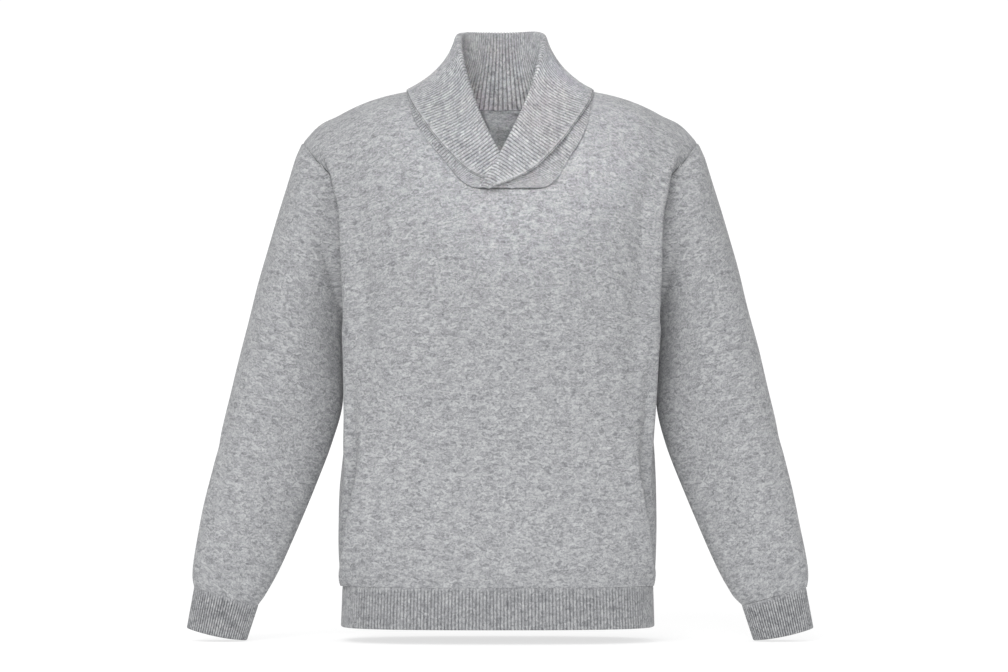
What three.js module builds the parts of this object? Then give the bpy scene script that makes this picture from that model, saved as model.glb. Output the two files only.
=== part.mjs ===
// A shawl-collar pullover, filled out and held at the neck and shoulders.
// Millimetres, +Z up. The origin is in the middle of the neck, level with the tops of the
// shoulders. The front faces -Y, and the wearer's left is on +X.
import * as THREE from 'three';

// Cloth, seams and net sizes.
const KNIT_WALL = 2.4;
const RIB_WALL = 2.6;
const SEAM_GAP = 0.3;
const SIDE_ROWS = 8;        // rows of the body between the hem rib and the underarm
const ARMHOLE_ROWS = 12;    // rows from the underarm to the shoulder
const HALF_COLUMNS = 12;    // columns from the middle of a panel to its seam
const NECK_COLUMNS = 8;     // the columns of each half that end at the neckline
const HEM_ROWS = 2;
const CUFF_ROWS = 2;
const COLLAR_STEPS = 18;    // stations from the middle of the back to one end
const STAND_STEPS = 3;
const ROLL_STEPS = 4;
const FALL_STEPS = 5;

// Main places and lengths.
const HEM_BOTTOM_Z = -682;
const HEM_TOP_Z = -629.5;
const UNDERARM_Z = -300;
const SHOULDER = { x: 252, y: 5, z: -65 };   // the outer end of the shoulder seam
const NECK_SIDE_X = 117;                     // where the neckline meets the shoulder seam
const SHOULDER_CROWN_Z = 6.5;                // the shoulder line carried on to the middle
const SHOULDER_CURVE = 3.4;                  // how late the shoulder line falls away
const NECKLINE_SIDE_Z = -30;
const NECKLINE_Z = -127;                     // the flat bottom of the front neckline
const NECKLINE_LEAN = 13;                    // the lapped ends draw the neckline to one side
const STAND_UPRIGHT = 0.6;                   // how upright the roll is round the back and sides
const FALL_FLARE = 0.55;                     // how much the fall flattens out at its edge
const LAP_FORWARD = 7;                       // the upper end of the collar lies this far out
const LAP_STARTS = 0.6;
const LAP_ENDS = 0.9;
const ROLL_ASIDE = 1.2;                      // the neck opening sits this far to the wearer's left

// The body from the hem rib up to the underarm: half width, depth and squareness of each level.
const BODY = [
  { z: HEM_TOP_Z, half: 199, front: 116, back: 108, square: 2.8 },
  { z: -606, half: 203, front: 122, back: 113, square: 2.8 },
  { z: -560, half: 204, front: 123, back: 112, square: 2.9 },
  { z: -480, half: 200, front: 122, back: 109, square: 3.0 },
  { z: -410, half: 194, front: 124, back: 110, square: 3.2 },
  { z: -350, half: 191, front: 127, back: 113, square: 3.3 },
  { z: -300, half: 193, front: 129, back: 116, square: 3.3 },
];

// The body from the underarm (0) to the shoulder seam (1): where each row meets the armhole,
// where it crosses the middle, and the share of its depth at which the armhole cuts it off.
const CHEST = [
  { rise: 0.0, frontX: 193, backX: 193, z: -300, front: 129, back: 116, frontCut: 0, backCut: 0, square: 3.3 },
  { rise: 0.1, frontX: 193, backX: 194, z: -281, front: 129, back: 117, frontCut: 0.17, backCut: 0.2, square: 3.3 },
  { rise: 0.3, frontX: 195, backX: 199, z: -230, front: 129, back: 120, frontCut: 0.43, backCut: 0.5, square: 3.2 },
  { rise: 0.5, frontX: 200, backX: 207, z: -160, front: 123, back: 120, frontCut: 0.55, backCut: 0.62, square: 3.0 },
  { rise: 0.6, frontX: 205, backX: 212, z: -119, front: 114, back: 117, frontCut: 0.57, backCut: 0.62, square: 2.9 },
  { rise: 0.7, frontX: 214, backX: 219, z: -76, front: 100, back: 108, frontCut: 0.56, backCut: 0.58, square: 2.8 },
  { rise: 0.8, frontX: 230, backX: 232, z: -38, front: 77, back: 89, frontCut: 0.53, backCut: 0.51, square: 2.7 },
  { rise: 0.9, frontX: 245, backX: 245, z: -9, front: 44, back: 54, frontCut: 0.47, backCut: 0.43, square: 2.6 },
  { rise: 1.0, frontX: 252, backX: 252, z: 6.5, front: 0, back: 0, frontCut: 0.42, backCut: 0.38, square: 2.5 },
];

// The drape fold down each side of a panel: its place between the middle (0) and the side
// seam (1), how far it stands out, and how far it reaches to each side.
const FRONT_FOLD = [
  { z: HEM_TOP_Z, place: 0.93, height: 0, reach: 0.16 },
  { z: -590, place: 0.84, height: 5, reach: 0.16 },
  { z: -520, place: 0.74, height: 8, reach: 0.18 },
  { z: -440, place: 0.75, height: 12, reach: 0.2 },
  { z: -360, place: 0.76, height: 20, reach: 0.2 },
  { z: -290, place: 0.74, height: 20, reach: 0.19 },
  { z: -220, place: 0.68, height: 15, reach: 0.15 },
  { z: -160, place: 0.59, height: 10, reach: 0.13 },
  { z: -95, place: 0.56, height: 0, reach: 0.12 },
];
const BACK_FOLD = [
  { z: -600, place: 0.8, height: 0, reach: 0.2 },
  { z: -500, place: 0.74, height: 6, reach: 0.22 },
  { z: -380, place: 0.74, height: 14, reach: 0.22 },
  { z: -280, place: 0.72, height: 14, reach: 0.19 },
  { z: -180, place: 0.6, height: 8, reach: 0.13 },
  { z: -100, place: 0.56, height: 0, reach: 0.12 },
];

// The neckline as the front and the back show it, from the shoulder seam to the middle.
const FRONT_NECKLINE = [
  { along: 0.0, x: NECK_SIDE_X, z: 1.2 },
  { along: 0.2, x: 111, z: -35 },
  { along: 0.35, x: 98, z: -63.5 },
  { along: 0.5, x: 77, z: -92 },
  { along: 0.63, x: 59.5, z: -114 },
  { along: 0.75, x: 40.5, z: -125.5 },
  { along: 1.0, x: 0, z: NECKLINE_Z },
];
const COLLAR_END_ALONG = 0.75;               // the corner where the flat bottom starts
const BACK_NECKLINE = [
  { along: 0.0, x: NECK_SIDE_X, z: 1.2 },
  { along: 0.25, x: 95, z: -8 },
  { along: 0.6, x: 52, z: -19 },
  { along: 1.0, x: 0, z: -22 },
];

// The collar from the middle of the back (0) to its front end (1): the neckline it is sewn to,
// the roll line at its top, the outer edge of its fall, and the radius it turns over on.
const SHOULDER_STATION = 0.36;
const COLLAR = [
  { at: 0.0, rollX: 0, rollY: 64, rollZ: 80, edgeX: 0, edgeY: 96, edgeZ: -25, turn: 6 },
  { at: 0.12, rollX: 26, rollY: 59, rollZ: 80, edgeX: 50, edgeY: 89, edgeZ: -22, turn: 5.4 },
  { at: 0.24, rollX: 45.5, rollY: 41, rollZ: 79, edgeX: 94, edgeY: 64, edgeZ: -11, turn: 4.8 },
  { at: 0.36, rollX: 53.5, rollY: 12, rollZ: 72.5, edgeX: 118, edgeY: 18, edgeZ: 4.5, turn: 4.6 },
  { at: 0.48, rollX: 50.5, rollY: -20, rollZ: 50, edgeX: 117.5, edgeY: -30, edgeZ: -5.5, turn: 4.6 },
  { at: 0.6, rollX: 41, rollY: -50, rollZ: 15, edgeX: 110.5, edgeY: -57, edgeZ: -19, turn: 4.8 },
  { at: 0.72, rollX: 27.6, rollY: -74, rollZ: -22, edgeX: 89.5, edgeY: -86, edgeZ: -50, turn: 4.6 },
  { at: 0.82, rollX: 16.4, rollY: -90, rollZ: -46, edgeX: 64.5, edgeY: -103, edgeZ: -79, turn: 4.2 },
  { at: 0.91, rollX: 0.4, rollY: -103, rollZ: -79, edgeX: 37, edgeY: -112.5, edgeZ: -103.5, turn: 3.8 },
  { at: 1.0, rollX: -26, rollY: -113, rollZ: -123.5, edgeX: -15, edgeY: -118.5, edgeZ: -126, turn: 3.4 },
];

// The sleeve from the armhole to the cuff: its underarm line and its outer line as the front
// shows them, its half depth and how far forward it hangs.
const SLEEVE = [
  { innerX: 194.6, innerZ: -304, outerX: 263, outerZ: -88, depth: 72, y: 4 },
  { innerX: 196, innerZ: -309, outerX: 273, outerZ: -120, depth: 71, y: 3 },
  { innerX: 197, innerZ: -315, outerX: 287, outerZ: -165, depth: 69, y: 2 },
  { innerX: 198, innerZ: -324, outerX: 301, outerZ: -214, depth: 66, y: 1 },
  { innerX: 199, innerZ: -338, outerX: 314, outerZ: -264, depth: 63, y: 0 },
  { innerX: 200, innerZ: -361, outerX: 327, outerZ: -314, depth: 60, y: -1 },
  { innerX: 202, innerZ: -405, outerX: 340, outerZ: -368, depth: 56, y: -3 },
  { innerX: 216, innerZ: -453, outerX: 353, outerZ: -421, depth: 52, y: -5 },
  { innerX: 238, innerZ: -510, outerX: 367, outerZ: -480, depth: 47, y: -8 },
  { innerX: 262, innerZ: -567, outerX: 380, outerZ: -536, depth: 42, y: -11 },
  { innerX: 284, innerZ: -615, outerX: 390, outerZ: -587, depth: 37, y: -14 },
  { innerX: 299, innerZ: -642, outerX: 393, outerZ: -616, depth: 30, y: -16 },
  { innerX: 308.5, innerZ: -655.5, outerX: 391, outerZ: -632, depth: 23, y: -17 },
];
const CUFF_TOP = { innerX: 308.7, innerZ: -656, outerX: 391, outerZ: -632.6, depth: 23.5, y: -17 };
const CUFF_BOTTOM = { innerX: 323, innerZ: -700, outerX: 400, outerZ: -684, depth: 21, y: -19 };

const KNIT_GREY = '#b5b6b8';
const RIB_GREY = '#a2a3a5';
const COLLAR_GREY = '#adaeb0';

const mix = (from, to, share) => from + (to - from) * share;

// The value of one column of a table at a place along another, on a smooth curve.
function read(table, key, place, column) {
  const last = table.length - 1;
  let i = 0;
  while (i < last - 1 && (place - table[i + 1][key]) * (table[last][key] - table[0][key]) > 0) i++;
  const slope = (n) => {
    const before = table[Math.max(n - 1, 0)];
    const after = table[Math.min(n + 1, last)];
    return (after[column] - before[column]) / (after[key] - before[key]);
  };
  const span = table[i + 1][key] - table[i][key];
  const t = Math.min(Math.max((place - table[i][key]) / span, 0), 1);
  const t2 = t * t;
  const t3 = t2 * t;
  return table[i][column] * (2 * t3 - 3 * t2 + 1) + slope(i) * span * (t3 - 2 * t2 + t)
    + table[i + 1][column] * (3 * t2 - 2 * t3) + slope(i + 1) * span * (t3 - t2);
}

// One level of the body: 0 at the hem rib, 1 at the underarm and 2 at the shoulder seam.
// Each is part of a rounded oblong, from the middle out to the angle where a seam ends it.
function bodyLevel(face, level) {
  const depth = face === 'front' ? -1 : 1;
  if (level <= 1) {
    const z = mix(HEM_TOP_Z, UNDERARM_Z, level);
    return {
      half: read(BODY, 'z', z, 'half'), seamZ: z, middleZ: z, shift: 0, seamAngle: Math.PI / 2,
      depth: depth * read(BODY, 'z', z, face), square: read(BODY, 'z', z, 'square'),
    };
  }
  const rise = level - 1;
  const square = read(CHEST, 'rise', rise, 'square');
  const cut = Math.max(read(CHEST, 'rise', rise, face + 'Cut'), 0);
  const seamAngle = Math.acos(cut ** (square / 2));
  return {
    half: read(CHEST, 'rise', rise, face + 'X') / Math.sin(seamAngle) ** (2 / square),
    seamZ: mix(UNDERARM_Z, SHOULDER.z, (1 - Math.cos(Math.PI * rise)) / 2),
    middleZ: read(CHEST, 'rise', rise, 'z'), shift: SHOULDER.y * rise, seamAngle,
    depth: depth * read(CHEST, 'rise', rise, face), square,
  };
}

// The height of a row at an angle round it.
function rowZ(row, angle) {
  const share = Math.sin(angle) / Math.sin(row.seamAngle);
  return mix(row.middleZ, row.seamZ, share ** (SHOULDER_CURVE * 2 / row.square));
}

function foldHeight(table, place, z) {
  const [first, last] = [table[0], table[table.length - 1]];
  if (z <= first.z || z >= last.z) return 0;
  const away = (place - read(table, 'z', z, 'place')) / read(table, 'z', z, 'reach');
  if (Math.abs(away) >= 1) return 0;
  return Math.max(read(table, 'z', z, 'height'), 0) * Math.cos(away * Math.PI / 2) ** 2;
}

// A point of the body: side runs from -1 at one seam through 0 in the middle to 1 at the other.
function bodyPoint(face, side, level) {
  const row = bodyLevel(face, level);
  const angle = Math.abs(side) * row.seamAngle;
  const point = new THREE.Vector3(
    Math.sign(side) * row.half * Math.sin(angle) ** (2 / row.square),
    row.shift + row.depth * Math.max(Math.cos(angle), 0) ** (2 / row.square),
    rowZ(row, angle),
  );
  const folds = face === 'front' ? FRONT_FOLD : BACK_FOLD;
  const out = foldHeight(folds, angle / (Math.PI / 2), point.z);
  point.x += Math.sign(side) * Math.sin(angle) * out;
  point.y += (face === 'front' ? -1 : 1) * Math.cos(angle) * out;
  return point;
}

// Where a point that is given as the front or back shows it lies on the body.
function placeOnBody(face, x, z) {
  const angleAt = (row) => Math.min(
    Math.asin(Math.min(Math.abs(x) / row.half, 1) ** (row.square / 2)), row.seamAngle);
  let [low, high] = [1, 2];
  for (let i = 0; i < 40; i++) {
    const level = (low + high) / 2;
    const row = bodyLevel(face, level);
    if (rowZ(row, angleAt(row)) < z) low = level;
    else high = level;
  }
  const row = bodyLevel(face, high);
  return { side: Math.sign(x) * angleAt(row) / row.seamAngle, level: high };
}

// How far down the front neckline a height is: 0 down to its straight sides, 1 at its bottom.
const depthShare = (z) => Math.min(Math.max((NECKLINE_SIDE_Z - z) / (NECKLINE_SIDE_Z - NECKLINE_Z), 0), 1);

function necklinePlace(face, along, hand) {
  const table = face === 'front' ? FRONT_NECKLINE : BACK_NECKLINE;
  const z = read(table, 'along', along, 'z');
  const lean = face === 'front' ? NECKLINE_LEAN * depthShare(z) : 0;
  return placeOnBody(face, hand * read(table, 'along', along, 'x') + lean, z);
}

// Directions square to a net of points, from its neighbours on every side.
function netNormals(net, ring) {
  return net.map((row, r) => row.map((_, c) => {
    const columns = row.length;
    const left = ring ? (c + columns - 1) % columns : Math.max(c - 1, 0);
    const right = ring ? (c + 1) % columns : Math.min(c + 1, columns - 1);
    const along = row[right].clone().sub(row[left]);
    const up = net[Math.min(r + 1, net.length - 1)][c].clone().sub(net[Math.max(r - 1, 0)][c]);
    return along.cross(up).normalize();
  }));
}

// A closed wall between a net of points and the same net moved in along its normals.
// facing is 1 where columns crossed with rows point out of the cloth, and -1 where they point in.
function wall(net, thickness, { ring = false, facing = 1, normals = netNormals(net, ring) } = {}) {
  const rows = net.length;
  const columns = net[0].length;
  const positions = [];
  for (const inset of [0, thickness]) {
    net.forEach((row, r) => row.forEach((point, c) => {
      const moved = point.clone().addScaledVector(normals[r][c], -facing * inset);
      positions.push(moved.x, moved.y, moved.z);
    }));
  }
  const index = [];
  const outer = (r, c) => r * columns + c % columns;
  const inner = (r, c) => rows * columns + outer(r, c);
  const quad = (a, b, c, d) => {
    if (facing > 0) index.push(a, b, c, a, c, d);
    else index.push(a, c, b, a, d, c);
  };
  const spans = ring ? columns : columns - 1;
  for (let c = 0; c < spans; c++) {
    for (let r = 0; r < rows - 1; r++) {
      quad(outer(r, c), outer(r, c + 1), outer(r + 1, c + 1), outer(r + 1, c));
      quad(inner(r, c), inner(r + 1, c), inner(r + 1, c + 1), inner(r, c + 1));
    }
    quad(outer(0, c), inner(0, c), inner(0, c + 1), outer(0, c + 1));
    quad(outer(rows - 1, c), outer(rows - 1, c + 1), inner(rows - 1, c + 1), inner(rows - 1, c));
  }
  for (let r = 0; !ring && r < rows - 1; r++) {
    const end = columns - 1;
    quad(outer(r, 0), outer(r + 1, 0), inner(r + 1, 0), inner(r, 0));
    quad(outer(r, end), inner(r, end), inner(r + 1, end), outer(r + 1, end));
  }
  const geometry = new THREE.BufferGeometry();
  geometry.setAttribute('position', new THREE.Float32BufferAttribute(positions, 3));
  geometry.setIndex(index);
  return geometry;
}

// A front or back panel. Its columns fan in from the sides to the neckline, and each ends at
// the neckline or at the shoulder seam.
function panel(face) {
  const hand = face === 'front' ? 1 : -1;
  const seam = (face === 'front' ? -1 : 1) * SEAM_GAP / 2;
  const net = [];
  for (let r = 0; r <= SIDE_ROWS + ARMHOLE_ROWS; r++) {
    const row = [];
    for (let c = -HALF_COLUMNS; c <= HALF_COLUMNS; c++) {
      const foot = { side: hand * c / HALF_COLUMNS, level: 1 };
      if (r <= SIDE_ROWS) {
        row.push(bodyPoint(face, foot.side, r / SIDE_ROWS));
        continue;
      }
      const count = Math.abs(c);
      let top;
      if (count < NECK_COLUMNS) {
        top = necklinePlace(face, 1 - count / NECK_COLUMNS, c < 0 ? -hand : hand);
      } else {
        const x = mix(NECK_SIDE_X, SHOULDER.x, (count - NECK_COLUMNS) / (HALF_COLUMNS - NECK_COLUMNS));
        top = { side: placeOnBody(face, hand * Math.sign(c) * x, SHOULDER_CROWN_Z).side, level: 2 };
      }
      const climb = (r - SIDE_ROWS) / ARMHOLE_ROWS;
      row.push(bodyPoint(face, mix(foot.side, top.side, climb), mix(1, top.level, climb)));
    }
    net.push(row);
  }
  const normals = netNormals(net, false);
  const level = (r, c) => { normals[r][c].y = 0; normals[r][c].normalize(); net[r][c].y += seam; };
  const last = 2 * HALF_COLUMNS;
  for (let r = 0; r <= SIDE_ROWS; r++) [0, last].forEach((c) => level(r, c));
  for (let c = 0; c <= HALF_COLUMNS - NECK_COLUMNS; c++) {
    [c, last - c].forEach((n) => level(net.length - 1, n));
  }
  return wall(net, KNIT_WALL, { normals });
}

// Points round one ring of the body, from the wearer's right side over the front.
function bodyRing(z, spread) {
  const ring = [];
  for (const [face, hand] of [['front', 1], ['back', -1]]) {
    for (let c = -HALF_COLUMNS; c < HALF_COLUMNS; c++) {
      const point = bodyPoint(face, hand * c / HALF_COLUMNS, 0);
      point.x *= 1 + spread / BODY[0].half;
      point.y *= 1 + spread / BODY[0].front;
      ring.push(point.setZ(z));
    }
  }
  return ring;
}

function hemRib() {
  const net = [];
  for (let r = 0; r <= HEM_ROWS; r++) {
    const share = r / HEM_ROWS;
    net.push(bodyRing(mix(HEM_BOTTOM_Z, HEM_TOP_Z - SEAM_GAP, share), mix(1.5, -0.5, share)));
  }
  return wall(net, RIB_WALL, { ring: true });
}

// A ring of the sleeve, from the underarm over the front, the outer line and the back.
function sleeveRing({ innerX, innerZ, outerX, outerZ, depth, y }) {
  const ring = [];
  for (let c = 0; c < 2 * ARMHOLE_ROWS; c++) {
    const angle = Math.PI * c / ARMHOLE_ROWS;
    const share = (1 - Math.cos(angle)) / 2;
    ring.push(new THREE.Vector3(
      mix(innerX, outerX, share),
      y - depth * Math.sin(angle),
      mix(innerZ, outerZ, share),
    ));
  }
  return ring;
}

function armholeRing() {
  const ring = [];
  for (let r = 0; r <= ARMHOLE_ROWS; r++) ring.push(bodyPoint('front', 1, 1 + r / ARMHOLE_ROWS));
  for (let r = ARMHOLE_ROWS - 1; r > 0; r--) ring.push(bodyPoint('back', 1, 1 + r / ARMHOLE_ROWS));
  ring.forEach((point) => { point.x += SEAM_GAP + 0.1; });
  return ring;
}

const mirrored = (net) => net.map((row) => row.map((point) => point.setX(-point.x)));

function sleeve(hand) {
  const ring = [armholeRing(), ...SLEEVE.map(sleeveRing)];
  const net = hand > 0 ? ring : mirrored(ring);
  const normals = netNormals(net, true);
  normals[0].forEach((normal) => normal.setX(0).normalize());
  return wall(net, KNIT_WALL, { ring: true, facing: -hand, normals });
}

function cuff(hand) {
  const net = [];
  for (let r = 0; r <= CUFF_ROWS; r++) {
    const row = {};
    for (const key of Object.keys(CUFF_TOP)) row[key] = mix(CUFF_TOP[key], CUFF_BOTTOM[key], r / CUFF_ROWS);
    net.push(sleeveRing(row));
  }
  return wall(hand > 0 ? net : mirrored(net), RIB_WALL, { ring: true, facing: -hand });
}

// The point of the neckline that a station of the collar is sewn to, just clear of the body.
function collarSeam(station, hand) {
  const behind = station < SHOULDER_STATION;
  const face = behind ? 'back' : 'front';
  const along = behind
    ? 1 - station / SHOULDER_STATION
    : COLLAR_END_ALONG * (station - SHOULDER_STATION) / (1 - SHOULDER_STATION);
  const column = Math.min(Math.floor(along * NECK_COLUMNS), NECK_COLUMNS - 1);
  const [point, next] = [column, column + 1].map((n) => {
    const place = necklinePlace(face, n / NECK_COLUMNS, hand);
    return bodyPoint(face, place.side, place.level);
  });
  point.lerp(next, along * NECK_COLUMNS - column);
  const flat = behind ? 0 : depthShare(point.z);
  const middle = new THREE.Vector3(NECKLINE_LEAN * flat, point.y * flat, point.z - NECKLINE_Z * flat);
  const inwards = middle.sub(point).normalize();
  point.addScaledVector(inwards, mix(3, 1.2, flat));
  point.y += RIB_WALL * flat;
  return point;
}

// One section of the collar: up the stand, over the roll and down the fall.
function collarSection(station, hand) {
  const value = (column) => read(COLLAR, 'at', station, column);
  const over = Math.min(Math.max((station - 0.5) / 0.4, 0), 1);
  const lapped = hand > 0 ? THREE.MathUtils.smoothstep(station, LAP_STARTS, LAP_ENDS) : 0;
  const lap = -LAP_FORWARD * lapped;
  const turn = value('turn');
  const seam = collarSeam(station, hand);
  const aside = ROLL_ASIDE * (1 - over);
  const roll = new THREE.Vector3(hand * value('rollX') + aside, value('rollY') + lap, value('rollZ'));
  const edge = new THREE.Vector3(hand * value('edgeX'), value('edgeY') + lap, value('edgeZ'));
  const upright = STAND_UPRIGHT * (1 - over);
  const up = roll.clone().sub(seam.clone().lerp(edge, 0.5)).normalize();
  up.lerp(new THREE.Vector3(0, 0, 1), upright).normalize();
  const ahead = Math.min(station + 0.02, 1);
  const behind = Math.max(station - 0.02, 0);
  const run = new THREE.Vector3(...['rollX', 'rollY', 'rollZ'].map((column) =>
    (read(COLLAR, 'at', ahead, column) - read(COLLAR, 'at', behind, column)) * (column === 'rollX' ? hand : 1)));
  const out = up.clone().cross(run).multiplyScalar(hand).normalize();
  const centre = roll.clone().addScaledVector(up, -turn);
  const standTop = centre.clone().addScaledVector(out, -turn);
  const fallTop = centre.clone().addScaledVector(out, turn);
  const points = [];
  const bend = (from, to, fromPull, toPull, steps, skip) => {
    const curve = new THREE.CubicBezierCurve3(from, from.clone().add(fromPull), to.clone().add(toPull), to);
    for (let i = skip; i <= steps; i++) points.push(curve.getPoint(i / steps));
  };
  const standPull = standTop.distanceTo(seam) / 3;
  const fallPull = fallTop.distanceTo(edge) / 3;
  const standLeave = standTop.clone().sub(seam).normalize().multiplyScalar(standPull);
  bend(seam, standTop, standLeave, up.clone().multiplyScalar(-standPull), STAND_STEPS, 0);
  for (let i = 1; i < ROLL_STEPS; i++) {
    const angle = Math.PI * (i / ROLL_STEPS - 0.5);
    points.push(centre.clone().addScaledVector(up, turn * Math.cos(angle)).addScaledVector(out, turn * Math.sin(angle)));
  }
  const fallLeave = fallTop.clone().sub(edge);
  fallLeave.z *= 1 - FALL_FLARE * (1 - over);
  fallLeave.setLength(fallPull);
  bend(fallTop, edge, up.clone().multiplyScalar(-fallPull), fallLeave, FALL_STEPS, 0);
  return points;
}

function collar() {
  const sections = [];
  for (let i = -COLLAR_STEPS; i <= COLLAR_STEPS; i++) {
    sections.push(collarSection(Math.abs(i) / COLLAR_STEPS, i < 0 ? -1 : 1));
  }
  const net = sections[0].map((_, row) => sections.map((section) => section[row]));
  return wall(net, RIB_WALL);
}

function piece(name, geometry, color) {
  const mesh = new THREE.Mesh(geometry, new THREE.MeshStandardMaterial({ color, roughness: 0.95, metalness: 0 }));
  mesh.name = name;
  return mesh;
}

const group = new THREE.Group();
group.add(
  piece('front_panel', panel('front'), KNIT_GREY),
  piece('back_panel', panel('back'), KNIT_GREY),
  piece('sleeve_left', sleeve(1), KNIT_GREY),
  piece('sleeve_right', sleeve(-1), KNIT_GREY),
  piece('cuff_left', cuff(1), RIB_GREY),
  piece('cuff_right', cuff(-1), RIB_GREY),
  piece('hem_rib', hemRib(), RIB_GREY),
  piece('collar', collar(), COLLAR_GREY),
);

export default group;
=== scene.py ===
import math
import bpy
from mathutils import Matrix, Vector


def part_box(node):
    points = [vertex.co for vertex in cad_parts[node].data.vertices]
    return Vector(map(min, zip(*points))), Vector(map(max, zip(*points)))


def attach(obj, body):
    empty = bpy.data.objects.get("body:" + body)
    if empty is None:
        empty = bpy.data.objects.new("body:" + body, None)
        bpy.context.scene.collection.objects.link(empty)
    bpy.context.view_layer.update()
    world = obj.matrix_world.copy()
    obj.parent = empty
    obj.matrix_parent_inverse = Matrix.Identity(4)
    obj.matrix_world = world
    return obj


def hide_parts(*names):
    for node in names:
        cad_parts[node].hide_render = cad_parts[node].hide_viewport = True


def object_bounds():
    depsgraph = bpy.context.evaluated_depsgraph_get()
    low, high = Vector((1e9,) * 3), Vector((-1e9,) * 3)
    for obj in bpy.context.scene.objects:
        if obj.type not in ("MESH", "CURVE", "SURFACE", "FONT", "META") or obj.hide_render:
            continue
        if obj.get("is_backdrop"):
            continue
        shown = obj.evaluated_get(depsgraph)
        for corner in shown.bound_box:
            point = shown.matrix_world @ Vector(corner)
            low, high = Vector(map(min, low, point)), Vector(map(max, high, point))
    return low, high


bl_info = {
    "name": "Knit sweater",
    "version": (1, 0, 0),
    "blender": (4, 5, 0),
    "location": "3D View > Sidebar > Sweater",
    "description": "Builds a shawl-collar knit sweater, filled out as if worn, on its packed CAD frame",
    "category": "Add Mesh",
}

import bmesh
import bpy
import numpy as np
from bpy.props import FloatProperty, FloatVectorProperty, PointerProperty

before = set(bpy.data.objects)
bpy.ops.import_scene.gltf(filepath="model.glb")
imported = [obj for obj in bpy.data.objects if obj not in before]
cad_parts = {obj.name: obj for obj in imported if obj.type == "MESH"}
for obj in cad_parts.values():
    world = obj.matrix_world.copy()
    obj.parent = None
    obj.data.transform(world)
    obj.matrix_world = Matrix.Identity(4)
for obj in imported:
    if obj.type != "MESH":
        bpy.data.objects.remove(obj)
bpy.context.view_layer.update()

# All tables and form functions work in millimetres, in the frame's axes: the origin in the middle
# of the neck, the front facing -Y and the wearer's left on +X. MM turns them to metres.
MM = 0.001

# Main places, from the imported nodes.
HEM_BOTTOM_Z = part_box("hem_rib")[0].z / MM
HEM_TOP_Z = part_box("front_panel")[0].z / MM
UNDERARM_Z = -300.0
SHOULDER = {"x": 252.0, "y": 5.0, "z": -65.0}    # the outer end of the shoulder seam
NECK_SIDE_X = 117.0                              # where the neckline meets the shoulder seam
SHOULDER_CROWN_Z = 6.5
SHOULDER_CURVE = 3.4                             # how late the shoulder line falls away
NECKLINE_SIDE_Z = -30.0
NECKLINE_Z = -127.0                              # the flat bottom of the front neckline
NECKLINE_LEAN = 10.0                             # the lapped ends draw the neckline to one side
NECK_SHARE = 2 / 3                               # the share of a panel's columns at the neckline
COLLAR_END_ALONG = 0.75                          # the corner where the flat bottom starts
SHOULDER_STATION = 0.36                          # where the collar crosses the shoulder seams
STAND_UPRIGHT = 0.6                              # how upright the roll is round the back and sides
STAND_BOW = 9.0                                  # how far the stand bows in beside the neck
FALL_FLARE = 0.55                                # how much the fall flattens out at its edge
LAP_FORWARD = 7.0                                # the upper end of the collar lies this far out
FALL_LIFT = 2.6                                  # the edge of the fall stands off the cloth below it
STAND_SPAN, FALL_SPAN = 100.0, 104.0             # about how long the stand and the fall are
EDGE_GROOVE = {"depth": 1.0, "away": 1.4, "reach": 0.7}    # a channel beside the edge loops of the fall, with shade painted into it
NECK_GROOVE = {"depth": 1.3, "reach": 1.0}       # a channel along the seam inside the back of the neck, with shade painted into it
ROLL_ASIDE = 1.2                                 # the neck opening sits this far to the wearer's left
SHOULDER_ROUND = 4.5                             # how far the cloth stands up over the sleeve heads
SLEEVE_SKEW = 0.38                               # how far the sleeves are fuller on their outer side
LEFT_SLEEVE_EASE = 3.4                           # the wearer's left sleeve bags this much more inwards
SEAM_GAP = 0.3                                   # between two pieces at a seam
SEAM_LINE, SEAM_LINE_REACH = 1.0, 0.9            # the fine line of an armhole seam
VALLEY_DEPTH, VALLEY_REACH = 6.0, 9.0            # the sleeve dips beside its armhole
FOLD_STEEPNESS = 1.7                             # how much steeper the drape folds are on their outer side
CLOSE_GAP = 0.14                                 # where cloth is sewn edge to edge in plain view
JOIN_REACH = 8.0                                 # where a piece turns square to its neighbour
COLUMNS_A_RIB = 6


def table(columns, *rows):
    """A short table of sizes with named columns."""
    return {name: np.array([row[i] for row in rows], float) for i, name in enumerate(columns.split())}


# The body from the hem rib up to the underarm: half width, depths and squareness at each height.
BODY = table(
    "z half front back square sway",
    (HEM_TOP_Z, 199, 116, 108, 2.8, -3.0),
    (-606, 201.5, 122, 113, 2.8, -3.2),
    (-560, 203, 123, 112, 2.9, -3.4),
    (-510, 202.5, 122.5, 110, 2.95, -3.0),
    (-480, 200.5, 122, 109, 3.0, -2.2),
    (-410, 194, 124, 110, 3.2, -0.8),
    (-350, 191, 127, 113, 3.3, 0.8),
    (-300, 193, 129, 116, 3.3, 1.2),
)
# From the underarm (0) to the shoulder seam (1): where each level meets the armhole and crosses
# the middle, and the share of its depth at which the armhole cuts it off.
CHEST = table(
    "rise front_x back_x z front back front_cut back_cut square sway",
    (0.0, 193, 193, -300, 129, 116, 0.00, 0.00, 3.3, 1.2),
    (0.1, 192, 194, -281, 129, 117, 0.17, 0.20, 3.3, 1.2),
    (0.3, 193, 199, -230, 129, 120, 0.43, 0.50, 3.2, 1.6),
    (0.5, 196.5, 207, -160, 123, 120, 0.55, 0.62, 3.0, 1.6),
    (0.6, 201.5, 212, -119, 114, 117, 0.57, 0.62, 2.9, 1.4),
    (0.7, 213, 219, -76, 100, 108, 0.56, 0.58, 2.8, 1.2),
    (0.8, 235, 234, -38, 77, 89, 0.53, 0.51, 2.7, 0.8),
    (0.9, 247.5, 246, -9, 44, 54, 0.47, 0.43, 2.6, 0.2),
    (1.0, 252, 252, 6.5, 0, 0, 0.42, 0.38, 2.5, 0),
)
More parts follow.
